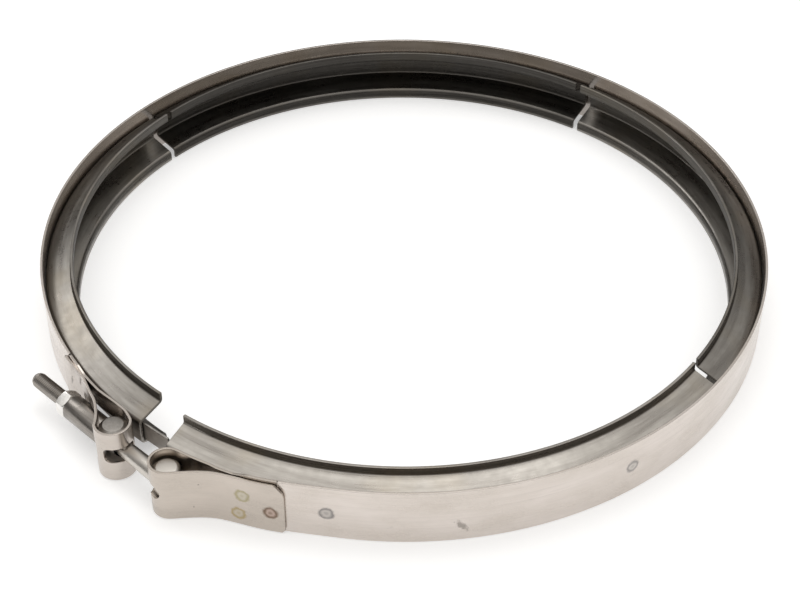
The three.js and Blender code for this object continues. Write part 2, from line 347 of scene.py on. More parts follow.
def closed_profile(line, thick, edge):
    """Closed (r, z) outline with normals, from a centre line and a sheet thickness."""
    half = thick / 2
    first, last = line[0], line[-1]
    out = [(p + n * half, n) for p, n in line]

    def cap(p, n, t):
        ring = []
        for k in range(1, 4):
            w = rad(30 * k)
            ring.append((p + n * (half - edge) + n * edge * math.cos(w) + t * edge * math.sin(w),
                         n * math.cos(w) + t * math.sin(w)))
        for k in range(0, 3):
            w = rad(90 - 30 * k)
            ring.append((p - n * (half - edge) - n * edge * math.cos(w) + t * edge * math.sin(w),
                         -n * math.cos(w) + t * math.sin(w)))
        return ring

    t_last = Vector((last[1][1], -last[1][0]))
    out += cap(last[0], last[1], t_last)
    out += [(p - n * half, -n) for p, n in reversed(line)]
    t_first = Vector((-first[1][1], first[1][0]))
    out += cap(first[0], -first[1], t_first)
    return out


def swept(name, profile, azimuths, place, chamfer):
    """Closed (r, z) profile carried round the ring, with small bevels at both ends."""
    skin = Skin()
    rings = []
    last = len(azimuths) - 1
    bevel_deg = chamfer / BAND_R * 57.3
    plan = [(azimuths[0], chamfer, -1)]
    for i, az in enumerate(azimuths):
        shift = bevel_deg if i == 0 else (-bevel_deg if i == last else 0)
        plan.append((az + shift, 0.0, 0))
    plan.append((azimuths[-1], chamfer, 1))
    for az, back, end in plan:
        ring = []
        for j, (p, n) in enumerate(profile):
            q = p - n * back
            xy = place(polar(q[0], az))
            ahead = place(polar(q[0], az + 0.01))
            t = (ahead - xy).normalized()
            r = Vector((t[1], -t[0]))
            n3 = Vector((r[0] * n[0], r[1] * n[0], n[1]))
            ring.append((skin.point((xy[0], xy[1], q[1]), (rad(az) * BAND_R, q[1], j / len(profile))),
                         n3, Vector((t[0], t[1], 0))))
        rings.append(ring)
    count = len(profile)
    for i in range(len(rings) - 1):
        tilt = -1 if i == 0 else (1 if i == len(rings) - 2 else 0)
        a, b = rings[i], rings[i + 1]
        for j in range(count):
            k = (j + 1) % count
            quad = [a[j], b[j], b[k], a[k]]
            ns = [tuple((c[1] + c[2] * tilt).normalized()) for c in quad]
            skin.face([c[0] for c in quad], ns)
    for ring, sign in ((rings[0], -1), (rings[-1], 1)):
        order = ring if sign < 0 else list(reversed(ring))
        ids = [c[0] for c in order]
        flat = [Vector((skin.points[i][0], skin.points[i][1], skin.points[i][2])) for i in ids]
        zr = [Vector((math.hypot(p[0], p[1]), p[2])) for p in flat]
        n = len(ids)
        border = [(i, (i + 1) % n) for i in range(n)]
        _, _, faces, orig, _, _ = delaunay_2d_cdt(zr, border, [], 1, 1e-6)
        normal = tuple(ring[0][2] * sign)
        for tri in faces:
            src = [orig[i][0] for i in tri if orig[i]]
            if len(src) != 3:
                continue
            c = sum((zr[i] for i in src), Vector((0, 0))) / 3
            if not inside(c, zr):
                continue
            a, b, d = (flat[i] for i in src)
            if (b - a).cross(d - a).dot(Vector(normal)) < 0:
                src.reverse()
            skin.face([ids[i] for i in src], [normal] * 3)
    return skin.build(name)


def turned_rings(rings, matrix, first=0):
    """Points and side faces of a turned shape; each ring holds a (height, radius) for every side."""
    verts, faces = [], []
    sides = len(rings[0])
    for ring in rings:
        for k, (h, r) in enumerate(ring):
            a = 2 * math.pi * k / sides
            verts.append(matrix @ Vector((r * math.cos(a), r * math.sin(a), h)))
    for i in range(len(rings) - 1):
        low, high = first + i * sides, first + (i + 1) * sides
        for k in range(sides):
            j = (k + 1) % sides
            faces.append((low + k, low + j, high + j, high + k))
    return verts, faces


def end_caps(rings, first=0):
    sides = len(rings[0])
    top = first + (len(rings) - 1) * sides
    return [tuple(reversed(range(first, first + sides))), tuple(range(top, top + sides))]


def turned_object(name, verts, faces, sharp):
    mesh = bpy.data.meshes.new(name)
    mesh.from_pydata([row(v) for v in verts], [], faces)
    mesh.update()
    mesh.shade_smooth()
    mesh.set_sharp_from_angle(angle=rad(sharp))
    obj = bpy.data.objects.new(name, mesh)
    scene.collection.objects.link(obj)
    return obj


def lathe(name, profile, matrix, sides=64, sharp=28, capped=True):
    """Turned part from (height, radius) steps about the matrix's Z axis; uncapped, it closes on itself."""
    rings = [[step] * sides for step in profile]
    verts, faces = turned_rings(rings, matrix)
    if capped:
        faces += end_caps(rings)
    else:
        top = (len(profile) - 1) * sides
        for k in range(sides):
            j = (k + 1) % sides
            faces.append((top + k, top + j, j, k))
    return turned_object(name, verts, faces, sharp)


def upright(s, d, z):
    p = latch(s, d)
    return Matrix.Translation(Vector((p[0], p[1], z)))


def along_bolt():
    """Local Z runs along the bolt towards the T-head, local X straight up."""
    a = rad(LATCH_AZ)
    u = Vector((-math.sin(a), math.cos(a), 0))
    up = Vector((0, 0, 1))
    side = u.cross(up)
    m = Matrix((up, side, u)).transposed().to_4x4()
    p = latch(0, BOLT_D)
    return Matrix.Translation(Vector((p[0], p[1], BOLT_Z))) @ m


def apply_modifiers(obj):
    dg = bpy.context.evaluated_depsgraph_get()
    mesh = bpy.data.meshes.new_from_object(obj.evaluated_get(dg))
    obj.modifiers.clear()
    obj.data = mesh


def apply_boolean(obj, cutter, operation="DIFFERENCE"):
    m = obj.modifiers.new("cut", "BOOLEAN")
    m.operation, m.object, m.solver = operation, cutter, "EXACT"
    apply_modifiers(obj)
    bpy.data.objects.remove(cutter)


# ---------------------------------------------------------------- materials
class Nodes:
    """Builds a metal material. A source is a (node, output socket) pair."""

    def __init__(self, name):
        self.mat = bpy.data.materials.new(name)
        self.mat.use_nodes = True
        self.tree = self.mat.node_tree
        self.tree.nodes.clear()
        self.bsdf = self.add("ShaderNodeBsdfPrincipled")
        out = self.add("ShaderNodeOutputMaterial")
        self.link(self.bsdf, "BSDF", out, "Surface")
        self.bsdf.inputs["Metallic"].default_value = 1.0

    def add(self, kind, **values):
        n = self.tree.nodes.new(kind)
        for k, v in values.items():
            setattr(n, k, v)
        return n

    def link(self, a, out, b, socket):
        self.tree.links.new(a.outputs[out], b.inputs[socket])

    def vector(self, operation, source, value=None):
        """Vector maths on a (node, socket) source, with a fixed second value."""
        n = self.add("ShaderNodeVectorMath", operation=operation)
        if value is not None:
            n.inputs[1].default_value = value
        self.link(source[0], source[1], n, 0)
        return n, "Vector"

    def length(self, source):
        return self.vector("LENGTH", source)[0], "Value"

    def along(self):
        """Where a point lies on its sheet: length and height in mm, then its side or place in the section."""
        return self.add("ShaderNodeAttribute", attribute_name="strip"), "Vector"

    def here(self):
        """Where a point lies in the part's frame, in metres."""
        return self.add("ShaderNodeTexCoord"), "Object"

    def strip(self, scale):
        return self.vector("MULTIPLY", self.along(), scale)

    def place(self, scale=(1.0, 1.0, 1.0)):
        return self.vector("MULTIPLY", self.here(), scale)

    def noise(self, vector, scale, detail=4, rough=0.55):
        n = self.add("ShaderNodeTexNoise")
        n.inputs["Scale"].default_value = scale
        n.inputs["Detail"].default_value = detail
        n.inputs["Roughness"].default_value = rough
        self.link(vector[0], vector[1], n, "Vector")
        return n, "Fac"

    def ramp(self, source, low, high, a=0.0, b=1.0):
        n = self.add("ShaderNodeMapRange")
        for k, v in (("From Min", low), ("From Max", high), ("To Min", a), ("To Max", b)):
            n.inputs[k].default_value = v
        self.link(source[0], source[1], n, "Value")
        return n, "Result"

    def math(self, operation, a, b):
        n = self.add("ShaderNodeMath", operation=operation)
        for i, v in enumerate((a, b)):
            if isinstance(v, tuple):
                self.link(v[0], v[1], n, i)
            else:
                n.inputs[i].default_value = v
        return n, "Value"

    def mix(self, fac, a, b):
        n = self.add("ShaderNodeMix", data_type="RGBA")
        for i, v in ((0, fac), (6, a), (7, b)):
            if isinstance(v, tuple) and not isinstance(v[0], (int, float)):
                self.tree.links.new(v[0].outputs[v[1]], n.inputs[i])
            elif i == 0:
                n.inputs[0].default_value = v
            else:
                n.inputs[i].default_value = (*v, 1.0)
        return n, 2

    def color(self, source):
        self.link(source[0], source[1], self.bsdf, "Base Color")

    def rough(self, source):
        self.link(source[0], source[1], self.bsdf, "Roughness")

    def bump(self, source, distance):
        n = self.add("ShaderNodeBump")
        n.inputs["Distance"].default_value = distance
        n.inputs["Strength"].default_value = 1.0
        self.link(source[0], source[1], n, "Height")
        self.link(n, "Normal", self.bsdf, "Normal")

    def distance(self, u, z):
        """Distance on the sheet from a point at length u and height z."""
        return self.vector("DISTANCE", self.strip((1.0, 1.0, 0.0)), (u, z, 0.0))[0], "Value"

    def bell(self, source, centre, width):
        """1 at centre, falling to 0 at a distance of width."""
        a = self.math("SUBTRACT", source, centre)
        b = self.math("ABSOLUTE", a, 0.0)
        return self.ramp(b, 0.0, width, 1.0, 0.0)


def polished_band(name, welds=(), smears=(), light=(0.69, 0.632, 0.59), dark=(0.60, 0.545, 0.495)):
    """Polished strip: faint lengthwise rolling lines, stains, scratches and spot weld rings.

    A weld is (length, height, radius, ring colour, middle colour, depth); a smear is
    (length, height, half sizes, lean in degrees, depth).
    """
    m = Nodes(name)
    lines = m.noise(m.strip((0.012, 1.6, 0.0)), 1.0, 5, 0.6)
    stains = m.noise(m.strip((0.03, 0.07, 0.3)), 1.0, 4, 0.6)
    fine = m.noise(m.strip((0.25, 6.0, 0.0)), 1.0, 3, 0.5)
    tone = m.mix(m.ramp(stains, 0.35, 0.68), light, dark)
    tone = m.mix(m.ramp(lines, 0.45, 0.75, 0.0, 0.35), tone, tuple(c * 0.86 for c in dark))
    height = m.math("ADD", m.math("MULTIPLY", lines, 0.6), m.math("MULTIPLY", fine, 0.25))
    rough = m.math("ADD", m.ramp(stains, 0.3, 0.75, 0.17, 0.30), m.ramp(fine, 0.3, 0.7, -0.02, 0.05))
    scratch = m.add("ShaderNodeTexVoronoi", feature="DISTANCE_TO_EDGE")
    scratch.inputs["Scale"].default_value = 1.0
    bent = m.noise(m.strip((0.05, 0.05, 0.2)), 1.0, 2)
    wavy = m.vector("ADD", m.strip((0.018, 0.16, 0.4)))
    m.link(bent[0], "Color", wavy[0], 1)
    m.link(wavy[0], "Vector", scratch, "Vector")
    hair = m.ramp((scratch, "Distance"), 0.0, 0.006, 1.0, 0.0)
    gate = m.ramp(m.noise(m.strip((0.09, 0.3, 0.7)), 1.0, 2), 0.52, 0.62, 0.0, 1.0)
    hair = m.math("MULTIPLY", hair, gate)
    tone = m.mix(m.math("MULTIPLY", hair, 0.35), tone, (0.36, 0.33, 0.30))
    for u, z, radius, ring, middle, depth in welds:
        wob = m.ramp(m.noise(m.strip((0.5, 0.5, 0.0)), 1.0, 3), 0.3, 0.7, -0.35, 0.35)
        d = m.math("ADD", m.distance(u, z), wob)
        disc = m.ramp(d, radius * 0.80, radius * 1.02, 1.0, 0.0)
        rim = m.bell(d, radius * 0.84, 1.0)
        tone = m.mix(m.math("MULTIPLY", disc, depth), tone, middle)
        tone = m.mix(m.math("MULTIPLY", rim, min(1.0, depth + 0.25)), tone, ring)
        eye = m.ramp(d, 0.35, 1.1, 1.0, 0.0)
        tone = m.mix(m.math("MULTIPLY", eye, depth * 0.6), tone, ring)
        dent = m.ramp(d, radius * 0.72, radius * 0.98, 0.0, 5.0)
        height = m.math("ADD", height, dent)
        rough = m.math("ADD", rough, m.math("MULTIPLY", disc, 0.12))
    for u, z, size, lean, depth in smears:
        turn = m.add("ShaderNodeVectorRotate", rotation_type="Z_AXIS")
        turn.inputs["Angle"].default_value = rad(lean)
        m.link(m.vector("SUBTRACT", m.along(), (u, z, 0.0))[0], "Vector", turn, "Vector")
        oval = m.vector("MULTIPLY", (turn, "Vector"), (1.0 / size[0], 1.0 / size[1], 0.0))
        rag = m.ramp(m.noise(m.strip((0.9, 0.9, 0.0)), 1.0, 4, 0.7), 0.3, 0.7, -0.45, 0.45)
        mark = m.ramp(m.math("ADD", m.length(oval), rag), 0.45, 1.0, 1.0, 0.0)
        tone = m.mix(m.math("MULTIPLY", mark, depth), tone, (0.27, 0.245, 0.22))
        rough = m.math("ADD", rough, m.math("MULTIPLY", mark, 0.15))
    m.color(tone)
    m.rough(rough)
    m.bump(height, 0.000012)
    return m.mat


def satin_vee(name, painted_shade_gain):
    """Retainer sheet: satin roll finish with mottled grey-brown streaks and a faint heat tint.

    The last argument is a painted shade: the share of that colour the piece keeps, which darkens a piece to
    stand in for how dark it looks lit, though all retainers are the same sheet.
    """
    m = Nodes(name)
    streak = m.noise(m.strip((0.02, 0.9, 0.0)), 1.0, 6, 0.65)
    mottle = m.noise(m.place(), 260.0, 5, 0.6)
    broad = m.noise(m.place(), 34.0, 3, 0.5)
    tone = m.mix(m.ramp(streak, 0.36, 0.64), (0.27, 0.25, 0.228), (0.46, 0.435, 0.40))
    tone = m.mix(m.ramp(mottle, 0.40, 0.70, 0.0, 0.30), tone, (0.28, 0.26, 0.235))
    tone = m.mix(m.ramp(broad, 0.5, 0.66, 0.0, 0.30), tone, (0.38, 0.32, 0.23))
    # painted shade: the whole colour is multiplied down by the piece's factor
    shade = m.mix(1.0, tone, (painted_shade_gain, painted_shade_gain, painted_shade_gain))
    shade[0].blend_type = "MULTIPLY"
    m.color(shade)
    m.rough(m.math("ADD", m.ramp(streak, 0.3, 0.7, 0.24, 0.36), m.ramp(mottle, 0.3, 0.7, -0.03, 0.05)))
    m.bump(m.math("ADD", streak, m.math("MULTIPLY", mottle, 0.35)), 0.00003)
    return m.mat


def plain_satin(name, light, dark, low, high, scale=420.0):
    """Fine even grain with broad darker patches; roughness goes from low to high."""
    m = Nodes(name)
    grain = m.noise(m.place(), scale, 5, 0.6)
    broad = m.noise(m.place(), scale / 7, 3, 0.5)
    tone = m.mix(m.ramp(grain, 0.35, 0.65), light, dark)
    tone = m.mix(m.ramp(broad, 0.45, 0.7, 0.0, 0.4), tone, tuple(c * 0.72 for c in dark))
    m.color(tone)
    m.rough(m.ramp(broad, 0.3, 0.7, low, high))
    m.bump(grain, 0.000015)
    return m.mat


def turned_steel(name, light, dark, centre):
    """Turned bar: fine rings on its faces about the upright axis through centre, drawn lines on its side."""
    m = Nodes(name)
    from_centre = m.vector("SUBTRACT", m.here(), tuple(centre))
    reach = m.length(m.vector("MULTIPLY", from_centre, (1.0, 1.0, 0.0)))
    rings = m.math("SINE", m.math("MULTIPLY", reach, 16000.0), 0.0)
    lines = m.noise(m.place((1.0, 1.0, 0.04)), 1500.0, 3)
    broad = m.noise(m.place(), 190.0, 4, 0.6)
    tone = m.mix(m.ramp(broad, 0.35, 0.66), light, dark)
    tone = m.mix(m.ramp(lines, 0.5, 0.7, 0.0, 0.35), tone, tuple(x * 0.6 for x in dark))
    m.color(tone)
    m.rough(m.ramp(broad, 0.3, 0.7, 0.26, 0.4))
    m.bump(m.math("ADD", m.math("MULTIPLY", rings, 0.35), lines), 0.000012)
    return m.mat


def drawn_steel(name, light, dark, low, high, neck=None):
    """Bar drawn along the bolt, with lengthwise lines; past the trunnion it may turn to the neck's colour."""
    m = Nodes(name)
    turn = m.add("ShaderNodeVectorRotate", rotation_type="Z_AXIS")
    turn.inputs["Angle"].default_value = -rad(LATCH_AZ + 90)
    m.link(m.add("ShaderNodeTexCoord"), "Object", turn, "Vector")
    lines = m.noise(m.vector("MULTIPLY", (turn, "Vector"), (0.05, 1.0, 1.0)), 1400.0, 4, 0.6)
    broad = m.noise(m.place(), 170.0, 4, 0.6)
    tone = m.mix(m.ramp(lines, 0.35, 0.65), light, dark)
    tone = m.mix(m.ramp(broad, 0.48, 0.7, 0.0, 0.45), tone, tuple(x * 0.65 for x in dark))
    if neck:
        split = m.add("ShaderNodeSeparateXYZ")
        m.link(turn, "Vector", split, 0)
        tone = m.mix(m.ramp((split, "X"), 0.003, 0.008), tone, neck)
    m.color(tone)
    m.rough(m.ramp(broad, 0.3, 0.7, low, high))
    m.bump(lines, 0.00001)
    return m.mat


# ---------------------------------------------------------------- camera
CAMERA_YAW, CAMERA_PITCH, CAMERA_ROLL = 0.57804, 40.34506, 0.17217     # degrees
CAMERA_PLACE = (-7.49982, -578.50957, 478.17758)
CAMERA_LENS = 77.63


def make_camera():
    yaw, pitch, roll = rad(CAMERA_YAW), rad(CAMERA_PITCH), rad(CAMERA_ROLL)
    fwd = Vector((math.sin(yaw) * math.cos(pitch), math.cos(yaw) * math.cos(pitch), -math.sin(pitch)))
    right = Vector((math.cos(yaw), -math.sin(yaw), 0))
    up = right.cross(fwd)
    r2 = right * math.cos(roll) + up * math.sin(roll)
    u2 = up * math.cos(roll) - right * math.sin(roll)
    cam = bpy.data.cameras.new("camera")
    cam.sensor_width, cam.lens = 36.0, CAMERA_LENS
    obj = bpy.data.objects.new("camera", cam)
    m = Matrix((r2, u2, -fwd)).transposed().to_4x4()
    m.translation = Vector(CAMERA_PLACE) / 1000
    obj.matrix_world = m
    cam.clip_start, cam.clip_end = 0.01, 30
    scene.collection.objects.link(obj)
    scene.camera = obj


make_camera()

# ---------------------------------------------------------------- strip
def strip_profile():
    """Rounded rectangle in (r, z), going up the outer face and down the inner one."""
    e, half = EDGE, BAND_T / 2
    out = []
    for cr, cz, a0 in ((1, 0, -90), (1, 1, 0), (-1, 1, 90), (-1, 0, 180)):
        centre = Vector((BAND_C + cr * (half - e), e if cz == 0 else BAND_H - e))
        for k in range(4):
            w = rad(a0 + 30 * k)
            n = Vector((math.cos(w), math.sin(w)))
            out.append((centre + n * e, n))
    return out


def unmoved(p):
    return p


def strip_arc(name, start, end, place):
    return swept(name, strip_section, steps(start, end, ARC_STEP), place, 0.0005)


strip_section = strip_profile()
arc_left = strip_arc("band_strip_left", FAR_SEAM, LEFT_SEAM, unmoved)
arc_far = strip_arc("band_strip_far", SIDE_SEAM, FAR_SEAM, unmoved)
arc_front = strip_arc("band_strip_front", RIGHT_SEAM - 360, SIDE_SEAM, outward)


def on_loop(loop, a):
    """Point of a loop's centre line at an angle from the bolt's direction."""
    return latch(loop[0] + loop[2] * math.cos(rad(a)), loop[1] + loop[2] * math.sin(rad(a)))


def rounded_hole(u0, u1, mid, half, radius):
    """Clockwise outline of a hole with rounded corners."""
    out = []
    for cu, cz, a0 in ((u0, -1, 180), (u1, -1, 270), (u1, 1, 0), (u0, 1, 90)):
        c = Vector((cu + (radius if cu == u0 else -radius), mid + cz * (half - radius)))
        for w in steps(a0, a0 + 90, 18):
            out.append(c + Vector((math.cos(rad(w)), math.sin(rad(w)))) * radius)
    return list(reversed(out))


def left_strap():
    """Left end of the strip: along the ring, out to the loop, round the trunnion and back onto the strip."""
    arc = [polar(BAND_C, a) for a in steps(LEFT_SEAM, 219.3, PATH_STEP)]
    first, last = -60, 122
    loop = [on_loop(LOOP_L, a) for a in steps(first, last, LOOP_STEP)]
    low = [latch(*p) for p in ((-10.5, 151.62), (-6.27, 151.4), (-2.48, 151.42), (1.29, 151.57))]
    leg = through([arc[-1]] + low + [loop[0]], 4)
    # beside the window the outer leg lies half a millimetre lower, clear of the nut
    outer = [polar(BAND_R + BAND_T / 2 + LAY - 0.5 * smooth((a - 210.5) / 3), a)
             for a in steps(215.2, 209.1, PATH_STEP)]
    high = [latch(*p) for p in (
        (-3.3, 162.1), (-6.5, 159.5), (-11.3, 156.45), (-16.5, 154.6), (-20.9, 152.9))]
    back = through([loop[-1]] + high + [outer[0]], 4)
    points = arc + leg + loop + back + outer
    path = frame_path(points, polar(BAND_C, LEFT_SEAM - PATH_STEP))
    total = path[-1][2]
    u_in = path[len(arc) - 1][2]
    u_loop = path[len(arc) + len(leg)][2]
    u_back = path[len(arc) + len(leg) + len(loop) - 1][2]

    def u_of(a):
        return u_loop + (a - first) * LOOP_L[2] * rad(1)

    def u_at(s):
        """Running length where the outer leg crosses s."""
        u = Vector((-math.sin(rad(LATCH_AZ)), math.cos(rad(LATCH_AZ))))
        return min((abs(p.dot(u) - s), length) for p, _, length in path if length > u_back)[1]

    rise = path[int(len(arc) * 0.35)][2]
    outline = [(0, 0), (rise, 0.0), (rise + 5, STRAP_Z0), (total - 1.6, STRAP_Z0 + 0.2),
               (total, STRAP_Z0 + 2.0), (total, STRAP_Z1 - 2.6), (total - 2.2, STRAP_Z1 - 0.2),
               (rise + 5, STRAP_Z1), (rise, BAND_H), (0, BAND_H)]
    slot = rounded_hole(u_of(-40), u_of(74), BOLT_Z + 0.6, 3.4, 2.4)
    window = rounded_hole(u_back - 1.6, u_at(-24.6), BOLT_Z, 5.9, 3.4)
    low_window = rounded_hole(u_in - 9.4, u_in + 10.5, BOLT_Z, 3.1, 2.4)
    obj = sheet_part("band_loop_left", path, outline, [slot, window, low_window], BAND_T)
    return obj, path


def right_strap():
    """Right end of the strip: out to the loop, round the T-head and back onto the strip."""
    arc = [outward(polar(BAND_C, a)) for a in steps(RIGHT_SEAM, 243.1, PATH_STEP)]
    first, last = 255, 45
    loop = [on_loop(LOOP_R, a) for a in steps(first, last, LOOP_STEP)]
    low = [latch(*p) for p in ((45.4, 147.65), (41.2, 148.9), (36.9, 150.05))]
    leg = through([arc[-1]] + low + [loop[0]], 4)
    outer = [outward(polar(BAND_R + BAND_T / 2 + LAY, a)) for a in steps(247.2, 253.1, PATH_STEP)]
    high = [latch(*p) for p in ((38.66, 160.46), (41.0, 157.7), (43.43, 155.0), (46.0, 152.4), (50.5, 148.9))]
    back = through([loop[-1]] + high + [outer[0]], 4)
    points = arc + leg + loop + back + outer
    path = frame_path(points, outward(polar(BAND_C, RIGHT_SEAM + PATH_STEP)))
    total = path[-1][2]
    u_loop = path[len(arc) + len(leg)][2]
    u_leg = path[int(len(arc) * 0.5)][2]

    def u_of(a):
        return u_loop + (first - a) * LOOP_R[2] * rad(1)

    outline = [(0, 0), (u_leg, 0), (u_leg + 5, STRAP_Z0), (total - 1.2, STRAP_Z0), (total, STRAP_Z0 + 1.4),
               (total, STRAP_Z1 - 5.6), (total - 0.5, STRAP_Z1 - 3.6), (total - 3.0, STRAP_Z1 - 0.3),
               (total - 4.2, STRAP_Z1), (u_leg + 5, STRAP_Z1), (u_leg, BAND_H), (0, BAND_H)]
    # mouth for the bolt, ending in a narrower rounded slot on the outer side
    top, step, half = BOLT_Z + 5.0, BOLT_Z - 5.4, 3.1
    a, b, c = u_of(228), u_of(78), u_of(128)
    hole = [(a + 2, top), (a + 0.6, top - 0.6), (a, top - 2),
            (a, step + 2), (a + 0.6, step + 0.6), (a + 2, step), (c - 0.8, step),
            (c, step + 0.8), (c + 0.4, BOLT_Z - half)]
    hole += [(b - half * 0.7 + half * math.cos(rad(w)), BOLT_Z + half * math.sin(rad(w)))
             for w in steps(-90, 90, 15)]
    hole += [(c + 0.4, BOLT_Z + half), (c, top - 0.8), (c - 0.8, top)]
    obj = sheet_part("band_loop_right", path, outline, [list(reversed(hole))], BAND_T)
    return obj, path


loop_left, path_left = left_strap()
loop_right, path_right = right_strap()


def length_at(path, az):
    """Running length where the outer leg crosses an azimuth."""
    outer_leg = path[len(path) // 2:]
    return min((abs(azimuth(p) - az), u) for p, _, u in outer_leg)[1]


# ---------------------------------------------------------------- retainers and bridge
def vee_profile():
    slope = math.tan(rad(VEE_FLANK))
    base_r = VEE_BASE_R - VEE_T / 2
    lip_r = VEE_LIP_R + VEE_T / 2
    skin = VEE_T / 2 / math.cos(rad(VEE_FLANK))
    z_base = VEE_FLAT + slope * (VEE_BASE_R - VEE_T - base_r) + skin
    z_lip = VEE_FLAT + slope * (VEE_BASE_R - VEE_T - lip_r) + skin
    line = [(lip_r, VEE_MID - VEE_HALF), (lip_r, VEE_MID - z_lip), (base_r, VEE_MID - z_base),
            (base_r, VEE_MID + z_base), (lip_r, VEE_MID + z_lip), (lip_r, VEE_MID + VEE_HALF)]
    return list(reversed(closed_profile(rounded(line, 1.5), VEE_T, 0.3)))


vee = vee_profile()
retainers = [
    ("v_retainer_1", "band_left", HINGE_1 + VEE_GAP, END_1, inward),
    ("v_retainer_2", "band_far", HINGE_2 + VEE_GAP, HINGE_1 - VEE_GAP, unmoved),
    ("v_retainer_3", "band_right", HINGE_3 + VEE_GAP, HINGE_2 - VEE_GAP, unmoved),
    ("v_retainer_4", "band_front", END_4 - 360, HINGE_3 - VEE_GAP, unmoved),
]
vee_pieces = []
for name, body, a0, a1, place in retainers:
    piece = swept("formed_" + name, vee, steps(a0, a1, ARC_STEP), place, 0.25)
    vee_pieces.append((piece, name, body))


def gap_plate():
    thick = 0.9
    r = VEE_BASE_R - VEE_T - 0.3 - thick / 2
    path = frame_path([inward(polar(r, a)) for a in steps(220.5, 232.3, PATH_STEP)])
    total = path[-1][2]
    z0, z1 = VEE_MID - 4.3, VEE_MID + 4.3
    outline = [(0, z0), (total - 0.8, z0), (total, z0 + 0.8), (total, z1 - 0.8), (total - 0.8, z1), (0, z1)]
    return sheet_part("gap_plate", path, outline, [], thick, 0.2)


plate = gap_plate()

# ---------------------------------------------------------------- latch
bolt_frame = along_bolt()


def pin_steps(radius, length, bevel):
    h = length / 2
    return [(-h, radius - bevel - 0.25), (-h + 0.05, radius - bevel), (-h + bevel * 0.75, radius - 0.12),
            (-h + bevel * 0.75 + 0.25, radius), (h - bevel * 0.75 - 0.25, radius),
            (h - bevel * 0.75, radius - 0.12), (h - 0.05, radius - bevel), (h, radius - bevel - 0.25)]


pin_place = upright(TRUNNION_S, BOLT_D, BOLT_Z)
cross_pin = lathe("cross_pin", pin_steps(TRUNNION_R, TRUNNION_L, 1.5), pin_place, 72, 24)
bore = lathe("bore_tool", [(-14, HOLE_R), (12, HOLE_R)], bolt_frame, 48)
apply_boolean(cross_pin, bore)
seat = lathe("seat_tool", [(-14, 8.5), (TRUNNION_S - 5.0, 8.5)], bolt_frame, 64)
apply_boolean(cross_pin, seat)
cross_pin.data.shade_smooth()
cross_pin.data.set_sharp_from_angle(angle=rad(24))


def thread_ring(h, first, last, sides):
    """One ring of the helical thread, fading in after first and out before last."""
    crest, root, tip = SHANK_R - 0.02, SHANK_R - 0.50, SHANK_R - 0.55
    start = min(1.0, (h - first) / 1.2)
    stop = min(1.0, (last - h) / 1.2)
    high = tip + (crest - SHANK_R + 0.55) * start
    ring = []
    for k in range(sides):
        phase = (h / PITCH - k / sides) % 1.0
        wave = min(1.0, max(0.0, (abs(phase - 0.5) * 2 - 0.12) / 0.72))
        depth = max(0.0, high - root)
        ring.append((h, high - depth * (1 - wave) * min(start + 0.25, 1.0) * stop))
    return ring


def threaded_bolt():
    """Shank with a rolled helical thread, plain neck that widens into the upright T-head."""
    sides, head_sides, per_turn = 48, 64, 6
    first, last = TIP_S + 0.9, -16.0
    tip = [(TIP_S, SHANK_R - 1.55), (TIP_S + 0.22, SHANK_R - 1.2), (TIP_S + 0.55, SHANK_R - 0.85)]
    neck = [(last + 0.4, SHANK_R), (0.0, SHANK_R), (6.8, SHANK_R),
            (10.8, SHANK_R + 0.22), (18.0, SHANK_R + 0.36),
            (24.8, SHANK_R + 0.46), (28.0, SHANK_R + 0.6), (31.6, SHANK_R + 0.66)]
    count = int((last - first) / PITCH * per_turn)
    rings = [[step] * sides for step in tip]
    rings += [thread_ring(first + (last - first) * i / count, first, last, sides) for i in range(count + 1)]
    rings += [[step] * sides for step in neck]
    verts, faces = turned_rings(rings, bolt_frame)
    faces += end_caps(rings)
    head = [[step] * head_sides for step in pin_steps(HEAD_R, HEAD_L, 1.2)]
    head_verts, head_faces = turned_rings(head, upright(HEAD_S, BOLT_D, BOLT_Z), len(verts))
    faces += head_faces + end_caps(head, len(verts))
    return turned_object("threaded_t_bolt", verts + head_verts, faces, 40)


bolt = threaded_bolt()
sleeve = lathe("round_sleeve", [
    (SPACER_S0, SPACER_BORE), (SPACER_S0, SPACER_R - 0.45), (SPACER_S0 + 0.13, SPACER_R - 0.13),
    (SPACER_S0 + 0.45, SPACER_R), (SPACER_S1 - 0.45, SPACER_R), (SPACER_S1 - 0.13, SPACER_R - 0.13),
    (SPACER_S1, SPACER_R - 0.45), (SPACER_S1, SPACER_BORE)], bolt_frame, 72, 30, capped=False)


def nut_piece():
    """Hexagon with domed faces, a countersunk bore and slightly broken edges."""
    corner = NUT_AF / 2 / math.cos(math.pi / 6)
    turn = Matrix.Rotation(rad(NUT_TURN), 4, "Z")
    hexagon = lathe("plated_nut", [(NUT_S0, corner), (NUT_S1, corner)], bolt_frame @ turn, 6, 20)
    flat, round_r = NUT_AF / 2, corner + 0.03
    dome = lathe("dome_tool", [
        (NUT_S0 - 0.01, flat - 0.15), (NUT_S0 + 0.35, flat + 0.35), (NUT_S0 + 0.8, round_r),
        (NUT_S1 - 0.8, round_r), (NUT_S1 - 0.35, flat + 0.35), (NUT_S1 + 0.01, flat - 0.15)],
        bolt_frame, 72)
    apply_boolean(hexagon, dome, "INTERSECT")
    hole = lathe("hole_tool", [
        (NUT_S0 - 1, NUT_BORE + 0.9), (NUT_S0 + 0.75, NUT_BORE),
        (NUT_S1 - 0.75, NUT_BORE), (NUT_S1 + 1, NUT_BORE + 0.9)], bolt_frame, 64)
    apply_boolean(hexagon, hole)
    bevel = hexagon.modifiers.new("bevel", "BEVEL")
    bevel.width, bevel.segments = 0.00016, 2
    bevel.limit_method, bevel.angle_limit = "ANGLE", rad(25)
    apply_modifiers(hexagon)
    hexagon.data.shade_smooth()
    hexagon.data.set_sharp_from_angle(angle=rad(30))
    return hexagon


nut = nut_piece()

